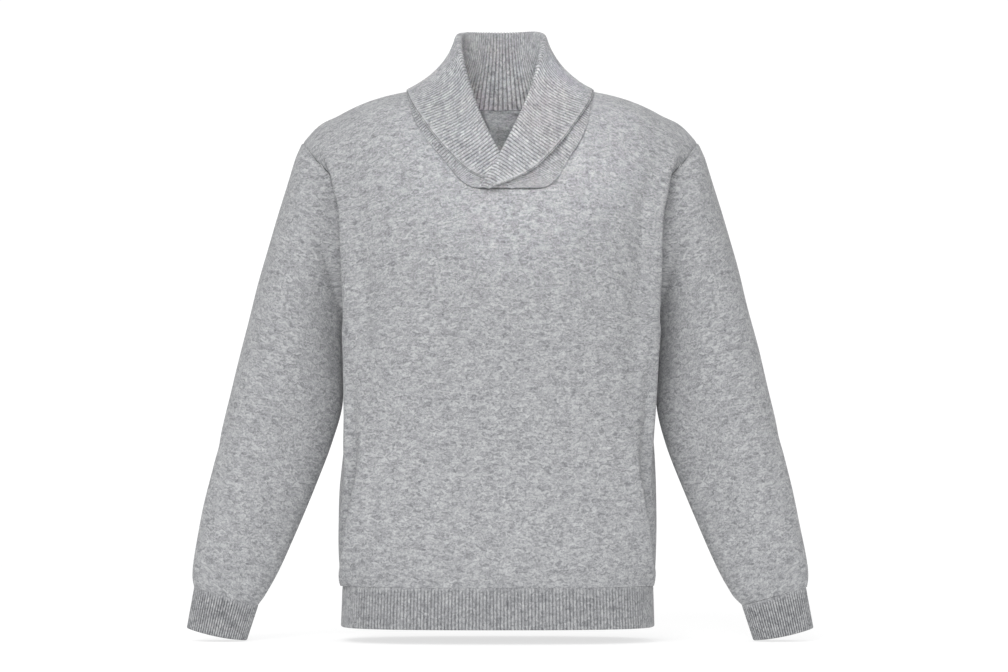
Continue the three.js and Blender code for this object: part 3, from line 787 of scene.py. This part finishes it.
def cuff(hand, sizes, material):
    def ring_at(share, down):
        turn = 2 * math.pi * (1 - share if hand > 0 else share)
        points = tube_point(CUFF, turn, np.full_like(turn, down))
        points[..., 0] *= hand
        points[..., 2] -= 2 * down * np.sin(turn) ** 2
        return points

    pitch = sizes.cuff_rib_pitch / MM
    rows = spaced(50, 6.0, start=SEAM_LINES, end=EDGE_LINES)
    net, across = rib_net(ring_at, rows, pitch)
    side = "left" if hand > 0 else "right"
    piece = rib_tube(f"cuff_{side}_knit", net, across, pitch, sizes, material,
                     f"cuff_{side}")
    return piece


def bend(start, end, leave, arrive, t):
    """A cubic curve with pulls at both ends, at shares t along it."""
    a, b = start[:, None], end[:, None]
    c, d = a + leave[:, None], b + arrive[:, None]
    t = t[None, :, None]
    return a * (1 - t) ** 3 + 3 * c * t * (1 - t) ** 2 + 3 * d * t**2 * (1 - t) + b * t**3


def collar_seam(station, hand):
    """The neckline points that the stations of one side of the collar are sewn to."""
    behind = station < SHOULDER_STATION
    back_along = 1 - np.minimum(station / SHOULDER_STATION, 1)
    front_along = COLLAR_END_ALONG * np.clip((station - SHOULDER_STATION) / (1 - SHOULDER_STATION), 0, 1)
    back = body_point("back", *neckline_place("back", back_along, hand))
    front = body_point("front", *neckline_place("front", front_along, hand))
    points = np.where(behind[:, None], back, front)
    flat = np.where(behind, 0, depth_share(points[:, 2]))
    middle = np.stack([NECKLINE_LEAN * flat, points[:, 1] * flat, points[:, 2] - NECKLINE_Z * flat], -1)
    points = points + unit(middle - points) * np.where(behind, 0.4, CLOSE_GAP)[:, None]
    points[:, 1] -= 0.25 * flat
    return points


def collar_line(station, hand, back, name):
    """The roll line or the edge of one side of the collar, moved towards the back."""
    x, y, z = (read(COLLAR, "at", station, f"{name}_{axis}") for axis in "xyz")
    return np.stack([hand * x, y + back, z], -1)


def collar_sections(station, hand, stand_steps, roll_steps, fall_steps):
    """Sections of one side of the collar: up the stand, over the roll and down the fall."""
    over = np.clip((station - 0.5) / 0.4, 0, 1)
    lapped = np.clip((station - 0.66) / 0.24, 0, 1) if hand > 0 else 0 * station
    lap = -LAP_FORWARD * lapped * lapped * (3 - 2 * lapped)
    turn = read(COLLAR, "at", station, "turn")[:, None]
    seam = collar_seam(station, hand)
    roll = collar_line(station, hand, lap, "roll") + (ROLL_ASIDE * (1 - over))[:, None] * [1, 0, 0]
    lifted = FALL_LIFT * np.clip((station - 0.35) / 0.15, 0, 1) * np.clip((1 - station) / 0.06, 0, 1)
    edge = collar_line(station, hand, lap - lifted, "edge")
    upright = (STAND_UPRIGHT * (1 - over))[:, None]
    up = unit(mix(unit(roll - (seam + edge) / 2), np.array([0, 0, 1.0]), upright))
    ahead = collar_line(np.minimum(station + 0.02, 1), hand, 0, "roll")
    behind = collar_line(np.abs(station - 0.02), hand, 0, "roll")
    behind[:, 0] *= np.where(station < 0.02, -1, 1)
    out = unit(np.cross(up, ahead - behind) * hand)
    centre = roll - up * turn
    stand_top, fall_top = centre - out * turn, centre + out * turn
    stand_pull = np.linalg.norm(stand_top - seam, axis=-1, keepdims=True) / 3
    fall_pull = np.linalg.norm(fall_top - edge, axis=-1, keepdims=True) / 3
    # Beside the neck the stand bows in, clear of the fall that lies over it.
    at_side = np.clip((station - 0.06) / 0.1, 0, 1) * np.clip((0.62 - station) / 0.12, 0, 1)
    bow = -out * (STAND_BOW * at_side)[:, None]
    leave = unit(stand_top - seam) * stand_pull
    stand = bend(seam, stand_top, leave + bow, -up * stand_pull + bow, stand_steps)
    angle = (math.pi * (roll_steps - 0.5))[None, :, None]
    over_top = centre[:, None] + turn[:, None] * (up[:, None] * np.cos(angle) + out[:, None] * np.sin(angle))
    leave = fall_top - edge
    leave[:, 2] *= 1 - FALL_FLARE * (1 - over)
    fall = bend(fall_top, edge, -up * fall_pull, unit(leave) * fall_pull, fall_steps)
    return np.concatenate([stand, over_top[:, 1:-1], fall], axis=1)


def collar(sizes, material):
    """The shawl collar: one ribbed strip that stands up from the neckline and folds over."""
    pitch = sizes.collar_rib_pitch / MM
    half = np.linspace(0, 1, 801)
    # The ribs are evenly spaced on the roll at the back, and near the edge of the fall in front.
    to_front = mix(0.1, 0.85, np.clip(half / 0.45, 0, 1))
    steps = [np.diff(runs(collar_line(half, 1, 0, name)[None], 1)[0]) for name in ("roll", "edge")]
    length = np.concatenate([[0], np.cumsum(mix(*steps, (to_front[1:] + to_front[:-1]) / 2))])
    ribs = round(length[-1] / pitch)
    columns = ribs * COLUMNS_A_RIB
    station = np.interp(np.linspace(0, length[-1], columns + 1), length, half)
    stand_steps = spaced(STAND_SPAN, 8.0, start=SEAM_LINES)
    roll_steps = np.linspace(0, 1, 9)
    fall_steps = spaced(FALL_SPAN, 6.5, end=FALL_EDGE_LINES)
    left = collar_sections(station, 1, stand_steps, roll_steps, fall_steps)
    right = collar_sections(station, -1, stand_steps, roll_steps, fall_steps)
    sections = np.concatenate([right[:0:-1], left])
    points = sections.transpose(1, 0, 2)
    column_width = pitch / COLUMNS_A_RIB
    across = np.repeat((np.arange(-columns, columns + 1) * pitch / COLUMNS_A_RIB)[None], len(points), 0)
    up = runs(points, 0)
    to_edge = up[-1:] - up
    along = runs(points, 1)
    to_end = np.minimum(along, along[:, -1:] - along)
    squeeze = np.clip(np.gradient(along, axis=1) / column_width, 0.25, 1)
    share = (squeeze * np.clip(0.3 + to_end / 3, 0, 1) * np.clip((to_edge - 1.6) / 4, 0.2, 1)
             * np.clip(0.3 + up / 3, 0, 1))
    soft = (pressed(up, 0.3 * sizes.seam_depth / MM, sizes.seam_reach / MM)
            + rounded(to_edge, 0.4, 1.8) + rested(across, up, 0.5, 0.9))
    outside, inside = rib_faces(across, pitch, share, soft, sizes)
    # A channel beside the chain of loops along the edge of the fall, and one along the seam inside the back
    # of the neck; shade is also painted into both, as a dark contact line.
    from_edge = np.full(len(points), FALL_SPAN)
    from_edge[-len(fall_steps):] *= 1 - fall_steps
    behind = np.clip((SHOULDER_STATION - np.abs(across) / across.max()) / 0.05, 0, 1)
    by_edge = beside(from_edge[:, None] - EDGE_GROOVE["away"], EDGE_GROOVE["reach"])
    by_neck = beside(up, NECK_GROOVE["reach"]) * behind
    outside = outside - EDGE_GROOVE["depth"] * by_edge - NECK_GROOVE["depth"] * by_neck
    piece = cloth("collar_knit", points, square_to(points), outside, inside, (across, up),
                  "collar", material, bulge=(0, 0.7), inner_shift=pitch / 2,
                  ribs=share, groove=np.maximum(by_edge, by_neck))
    return piece


def linear(hex_colour):
    """An sRGB hex colour as linear values."""
    parts = [int(hex_colour[i:i + 2], 16) / 255 for i in (1, 3, 5)]
    return tuple(c / 12.92 if c <= 0.04045 else ((c + 0.055) / 1.055) ** 2.4 for c in parts)


def add(tree, kind, settings=None, **inputs):
    """A new shader node of a tree with its settings, and its inputs by name, given as values, as
    sockets or as nodes, whose first output is meant. An input called _0, _1 and so on is one by
    its number."""
    node = tree.nodes.new("ShaderNode" + kind)
    for name, value in (settings or {}).items():
        setattr(node, name, value)
    for name, value in inputs.items():
        socket = node.inputs[int(name[1:])] if name[0] == "_" else node.inputs[name.replace("_", " ")]
        if isinstance(value, bpy.types.Node):
            value = value.outputs[0]
        if isinstance(value, bpy.types.NodeSocket):
            tree.links.new(value, socket)
        else:
            socket.default_value = value
    return node


def knit_height(tree, cloth_map, wale, course):
    """The relief of knitted loops: rows of small chevrons, wale wide and course high in metres."""
    parts = add(tree, "SeparateXYZ", _0=cloth_map)
    column = add(tree, "Math", {"operation": "PINGPONG"}, _0=parts.outputs["X"], _1=wale / 2)
    leg = add(tree, "Math", {"operation": "MULTIPLY"}, _0=column, _1=1.1)
    slanted = add(tree, "Math", {"operation": "ADD"}, _0=parts.outputs["Y"], _1=leg)
    turned = add(tree, "Math", {"operation": "MULTIPLY"}, _0=slanted, _1=2 * math.pi / course)
    loops = add(tree, "Math", {"operation": "SINE"}, _0=turned)
    gap = add(tree, "Math", {"operation": "MULTIPLY"}, _0=column, _1=2 * math.pi / wale)
    crown = add(tree, "Math", {"operation": "SINE"}, _0=gap)
    lifted = add(tree, "Math", {"operation": "MULTIPLY_ADD"}, _0=loops, _1=0.35, _2=0.5)
    return add(tree, "Math", {"operation": "MULTIPLY_ADD"},
               _0=crown, _1=0.5, _2=lifted).outputs[0]


def knit_material(name, colours, wale, course, streak, rib_pitch=None, valley=0.0):
    """Heathered knitting yarn: light and dark fibres spun together, so each course shows short
    broken streaks. streak is their length and height in metres. Shade is painted into a rib's
    valleys, as fully as its ribs stand out and as dark as valley gives, and into the channels
    marked on the collar."""
    material = bpy.data.materials.new(name)
    material.use_nodes = True
    tree = material.node_tree
    tree.nodes.clear()
    cloth_map = add(tree, "UVMap", {"uv_map": "cloth"}).outputs["UV"]

    def noise(length, height, detail, roughness, seed, winding=0.0):
        placed = add(tree, "Mapping", Vector=cloth_map, Scale=(1 / length, 1 / height, 1),
                     Location=(seed, seed * 1.7, 0))
        return add(tree, "TexNoise", {"noise_dimensions": "2D"}, Vector=placed,
                   Scale=1.0, Detail=detail, Roughness=roughness, Distortion=winding).outputs[0]

    broad = noise(streak[0], streak[1], 2.0, 0.55, 3.1, 0.9)
    fine = noise(streak[0] * 0.35, streak[1] * 0.6, 2.0, 0.7, 11.3, 0.5)
    patch = noise(0.02, 0.014, 2.0, 0.5, 23.9)
    both = add(tree, "Math", {"operation": "MULTIPLY_ADD"}, _0=fine, _1=0.75, _2=broad)
    tone = add(tree, "Math", {"operation": "MULTIPLY_ADD"}, _0=patch, _1=0.3, _2=both)
    span = add(tree, "MapRange", Value=tone, From_Min=0.72, From_Max=1.38)
    mid = add(tree, "ValToRGB", Fac=span)
    ramp = mid.color_ramp
    ramp.elements[0].color = (*colours["dark"], 1)
    ramp.elements[1].color = (*colours["light"], 1)
    middle = ramp.elements.new(0.5)
    middle.color = (*colours["mid"], 1)

    # Pale fibres that stand out of the yarn, as thin winding lines, and a few dark ones.
    winding = noise(0.007, 0.005, 3.0, 0.6, 37.7)
    off = add(tree, "Math", {"operation": "SUBTRACT"}, _0=winding, _1=0.5)
    near = add(tree, "Math", {"operation": "ABSOLUTE"}, _0=off)
    line = add(tree, "MapRange", Value=near, From_Min=0.0, From_Max=0.018,
               To_Min=1.0, To_Max=0.0)
    where = add(tree, "MapRange", Value=noise(0.008, 0.006, 2.0, 0.5, 51.3),
                From_Min=0.48, From_Max=0.62, To_Min=0.0, To_Max=0.55)
    fibre = add(tree, "Math", {"operation": "MULTIPLY"}, _0=line, _1=where)
    with_pale = add(tree, "Mix", {"data_type": "RGBA"}, _0=fibre,
                    _6=mid, _7=(*colours["fibre"], 1))
    flecks = add(tree, "MapRange", Value=noise(0.006, 0.0022, 1.0, 0.5, 71.9),
                 From_Min=0.70, From_Max=0.80, To_Min=0.0, To_Max=0.5)
    colour = add(tree, "Mix", {"data_type": "RGBA"}, _0=flecks,
                 _6=with_pale.outputs[2], _7=(*colours["fleck"], 1)).outputs[2]
    relief = knit_height(tree, cloth_map, wale, course)
    # Painted shade: the colour is multiplied toward dark grey in the rib valleys, as fully as the ribs stand
    # out, and in the channels marked on the collar, where shade falls.
    if rib_pitch:
        parts = add(tree, "SeparateXYZ", _0=cloth_map)
        turned = add(tree, "Math", {"operation": "MULTIPLY"}, _0=parts.outputs["X"],
                     _1=2 * math.pi / rib_pitch)
        wave = add(tree, "Math", {"operation": "COSINE"}, _0=turned)
        ribs = add(tree, "Attribute", {"attribute_name": "ribs"}).outputs["Fac"]
        full = add(tree, "Math", {"operation": "MULTIPLY"}, _0=ribs, _1=valley)
        deep = add(tree, "MapRange", Value=wave, From_Min=0.0, From_Max=-1.0,
                   To_Min=0.0, To_Max=full)
        groove = add(tree, "Attribute", {"attribute_name": "groove"}).outputs["Fac"]
        painted_shade = add(tree, "Math", {"operation": "MAXIMUM"}, _0=deep, _1=groove)
        # The dark grey of the painted shade.
        colour = add(tree, "Mix", {"data_type": "RGBA", "blend_type": "MULTIPLY"}, _0=painted_shade,
                     _6=colour, _7=(0.3, 0.3, 0.31, 1)).outputs[2]
    fuzz = add(tree, "Math", {"operation": "MULTIPLY_ADD"}, _0=fine, _1=0.8, _2=relief)
    bump = add(tree, "Bump", Height=fuzz, Strength=0.5, Distance=0.0006)
    surface = add(tree, "BsdfPrincipled", Base_Color=colour, Roughness=0.95, IOR=1.5,
                  Specular_IOR_Level=0.12, Sheen_Weight=0.12, Sheen_Roughness=0.5, Normal=bump)
    add(tree, "OutputMaterial", Surface=surface)
    return material


def size_value(name, description, default, low, high):
    return FloatProperty(name=name, description=description, default=default, min=low, max=high,
                         unit="LENGTH")


def colour_value(name, description, hex_colour):
    return FloatVectorProperty(name=name, description=description, subtype="COLOR",
                               default=linear(hex_colour), min=0.0, max=1.0)


class SweaterSizes(bpy.types.PropertyGroup):
    knit_wall: size_value("Knit thickness", "Thickness of the plain knit", 0.0024, 0.001, 0.004)
    rib_wall: size_value("Rib thickness", "Thickness of the ribbed knit", 0.0026, 0.001, 0.004)
    hem_rib_pitch: size_value("Hem rib pitch", "Width of one rib and its valley at the hem",
                              0.0044, 0.002, 0.01)
    cuff_rib_pitch: size_value("Cuff rib pitch", "Width of one rib and its valley at a cuff",
                               0.0032, 0.002, 0.01)
    collar_rib_pitch: size_value(
        "Collar rib pitch", "Width of one rib and its valley at the collar", 0.0044, 0.002, 0.01)
    rib_depth: size_value("Rib depth", "How deep the valleys between ribs are", 0.0011, 0.0, 0.003)
    seam_depth: size_value("Seam depth", "How far a seam draws the cloth in", 0.0007, 0.0, 0.004)
    seam_reach: size_value("Seam reach", "How far from a seam the cloth is drawn in", 0.0022, 0.001, 0.01)
    pucker_depth: size_value("Pucker depth", "Depth of the small puckers above a rib", 0.0009, 0.0, 0.004)
    unevenness: size_value("Unevenness", "Slight unevenness of the soft cloth", 0.0006, 0.0, 0.004)


class SweaterColours(bpy.types.PropertyGroup):
    mid: colour_value("Yarn", "Main colour of the heathered yarn", "#9b9c9e")
    light: colour_value("Light yarn", "Colour where light fibres gather", "#b8b9ba")
    dark: colour_value("Dark yarn", "Colour where dark fibres gather", "#797a7d")
    fibre: colour_value("Pale fibres", "Colour of single pale fibres", "#d4d5d7")
    fleck: colour_value("Dark flecks", "Colour of single dark flecks", "#54555a")


def toned(colours, share):
    """The yarn's colours by their names, darker or lighter by a share."""
    return {name: tuple(min(part * share, 1) for part in getattr(colours, name))
            for name in colours.__annotations__}


class SWEATER_OT_panels(bpy.types.Operator):
    """Adds the front and back panels in heathered plain knit"""
    bl_idname = "sweater.panels"
    bl_label = "Add the panels"

    def execute(self, context):
        sizes, colours = context.scene.sweater_sizes, context.scene.sweater_colours
        # Plain knit in a mid gauge: soft, matt and fuzzy, with broken streaks along its courses.
        jersey = knit_material("heathered_plain_knit", toned(colours, 1.0), 0.0024, 0.0019, (0.0075, 0.0042))
        for face in ("front", "back"):
            panel(face, sizes, jersey)
        return {"FINISHED"}


class SWEATER_OT_sleeves(bpy.types.Operator):
    """Adds the two sleeves in heathered plain knit"""
    bl_idname = "sweater.sleeves"
    bl_label = "Add the sleeves"

    def execute(self, context):
        sizes = context.scene.sweater_sizes
        jersey = bpy.data.materials["heathered_plain_knit"]
        for hand in (1, -1):
            sleeve(hand, sizes, jersey)
        return {"FINISHED"}


class SWEATER_OT_ribs(bpy.types.Operator):
    """Adds the ribbed hem and cuffs"""
    bl_idname = "sweater.ribs"
    bl_label = "Add the hem and cuffs"

    def execute(self, context):
        sizes, colours = context.scene.sweater_sizes, context.scene.sweater_colours
        # One-by-one rib: upright ridges of the same yarn, with shade painted into the valleys between them.
        hem_knit = knit_material("heathered_hem_rib_knit", toned(colours, 0.92), sizes.hem_rib_pitch,
                                 0.0021, (0.005, 0.006), rib_pitch=sizes.hem_rib_pitch, valley=0.6)
        cuff_knit = knit_material("heathered_cuff_rib_knit", toned(colours, 0.94), sizes.cuff_rib_pitch,
                                  0.0021, (0.005, 0.006), rib_pitch=sizes.cuff_rib_pitch, valley=0.95)
        hem(sizes, hem_knit)
        for hand in (1, -1):
            cuff(hand, sizes, cuff_knit)
        return {"FINISHED"}


class SWEATER_OT_collar(bpy.types.Operator):
    """Adds the ribbed shawl collar"""
    bl_idname = "sweater.collar"
    bl_label = "Add the collar"

    def execute(self, context):
        sizes, colours = context.scene.sweater_sizes, context.scene.sweater_colours
        # The same rib, doubled over: both of its faces show, with shade painted into its valleys, beside the
        # edge of the fall and along the seam inside the back of the neck.
        knit = knit_material("heathered_collar_rib_knit", toned(colours, 1.06), sizes.collar_rib_pitch,
                             0.0021, (0.005, 0.007), rib_pitch=sizes.collar_rib_pitch, valley=0.8)
        collar(sizes, knit)
        return {"FINISHED"}


class SWEATER_OT_stage(bpy.types.Operator):
    """Adds the floor, the lights and the camera"""
    bl_idname = "sweater.stage"
    bl_label = "Add the stage"

    def execute(self, context):
        low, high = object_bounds()
        grid = bmesh.new()
        bmesh.ops.create_grid(grid, x_segments=1, y_segments=1, size=1.7)
        bmesh.ops.translate(grid, verts=grid.verts, vec=(0, 0.8, low.z - 0.001))
        mesh = bpy.data.meshes.new("floor")
        grid.to_mesh(mesh)
        grid.free()
        floor = bpy.data.objects.new("floor", mesh)
        context.collection.objects.link(floor)
        floor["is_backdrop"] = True
        # A lit studio sweep: white all over, with only a breath of shadow under the hem.
        paper = bpy.data.materials.new("lit_white_studio_sweep")
        paper.use_nodes = True
        paper.node_tree.nodes.clear()
        sweep = add(paper.node_tree, "BsdfPrincipled", Base_Color=(0.36, 0.36, 0.36, 1), Roughness=0.9,
                    Specular_IOR_Level=0.0, Emission_Color=(1, 1, 1, 1), Emission_Strength=0.69)
        add(paper.node_tree, "OutputMaterial", Surface=sweep)
        mesh.materials.append(paper)

        world = bpy.data.worlds.new("white_studio")
        world.use_nodes = True
        world.node_tree.nodes.clear()
        # White behind the sweater, as a lit sweep is, and dimmer in front of it and from below.
        seen = add(world.node_tree, "TexCoord")
        parts = add(world.node_tree, "SeparateXYZ", _0=seen.outputs["Generated"])
        behind = add(world.node_tree, "MapRange", Value=parts.outputs["Y"],
                     From_Min=-0.45, From_Max=0.15, To_Min=0.45, To_Max=1.05)
        level = add(world.node_tree, "MapRange", Value=parts.outputs["Z"],
                    From_Min=-0.7, From_Max=-0.1, To_Min=0.5, To_Max=1.0)
        strength = add(world.node_tree, "Math", {"operation": "MULTIPLY"},
                       _0=behind, _1=level)
        white = add(world.node_tree, "Background", Color=(1, 1, 1, 1), Strength=strength)
        add(world.node_tree, "OutputWorld", Surface=white)
        context.scene.world = world
        context.scene.view_settings.view_transform = "Standard"

        chest = (low + high) / 2
        neck = chest.copy()
        neck.x, neck.z = 0.03, -0.03
        for name, place, aim, size, power, spread in (
            ("key", (-0.8, -2.2, 1.5), chest, 1.6, 45, 180),
            ("front", (0.1, -5.0, 0.45), chest, 1.4, 80, 180),
            ("fill", (1.9, -2.4, 0.6), chest, 2.5, 10, 180),
            ("snoot", (0.0, -3.0, -0.25), neck, 0.1, 0.12, 8),
        ):
            lamp = bpy.data.lights.new(name, "AREA")
            lamp.size = size
            lamp.energy = power
            lamp.spread = math.radians(spread)
            holder = bpy.data.objects.new(name, lamp)
            context.collection.objects.link(holder)
            holder.location = place
            holder.rotation_euler = (aim - holder.location).to_track_quat("-Z", "Y").to_euler()

        # Level with the middle of the sweater and far back, with a long lens.
        view_width, far = 1.29, 7.5
        lens = bpy.data.cameras.new("camera")
        lens.sensor_width = 36
        lens.lens = 36 * far / view_width
        camera = bpy.data.objects.new("camera", lens)
        camera.location = (0.005, -far, -0.312)
        camera.rotation_euler = (math.pi / 2, 0, 0)
        context.collection.objects.link(camera)
        context.scene.camera = camera
        return {"FINISHED"}


STEPS = (SWEATER_OT_panels, SWEATER_OT_sleeves, SWEATER_OT_ribs, SWEATER_OT_collar, SWEATER_OT_stage)


class SWEATER_PT_sidebar(bpy.types.Panel):
    """Sizes, colours and steps of the knit sweater"""
    bl_label = "Knit sweater"
    bl_idname = "SWEATER_PT_sidebar"
    bl_space_type = "VIEW_3D"
    bl_region_type = "UI"
    bl_category = "Sweater"

    def draw(self, context):
        for group in (context.scene.sweater_sizes, context.scene.sweater_colours):
            box = self.layout.box()
            for name in group.__annotations__:
                box.prop(group, name)
        for step in STEPS:
            self.layout.operator(step.bl_idname)


CLASSES = (SweaterSizes, SweaterColours, *STEPS, SWEATER_PT_sidebar)


def register():
    for each in CLASSES:
        bpy.utils.register_class(each)
    bpy.types.Scene.sweater_sizes = PointerProperty(type=SweaterSizes)
    bpy.types.Scene.sweater_colours = PointerProperty(type=SweaterColours)


def unregister():
    del bpy.types.Scene.sweater_colours
    del bpy.types.Scene.sweater_sizes
    for each in reversed(CLASSES):
        bpy.utils.unregister_class(each)


def main():
    register()
    bpy.ops.sweater.panels()
    bpy.ops.sweater.sleeves()
    bpy.ops.sweater.ribs()
    bpy.ops.sweater.collar()
    bpy.ops.sweater.stage()


if __name__ == "__main__":
    main()
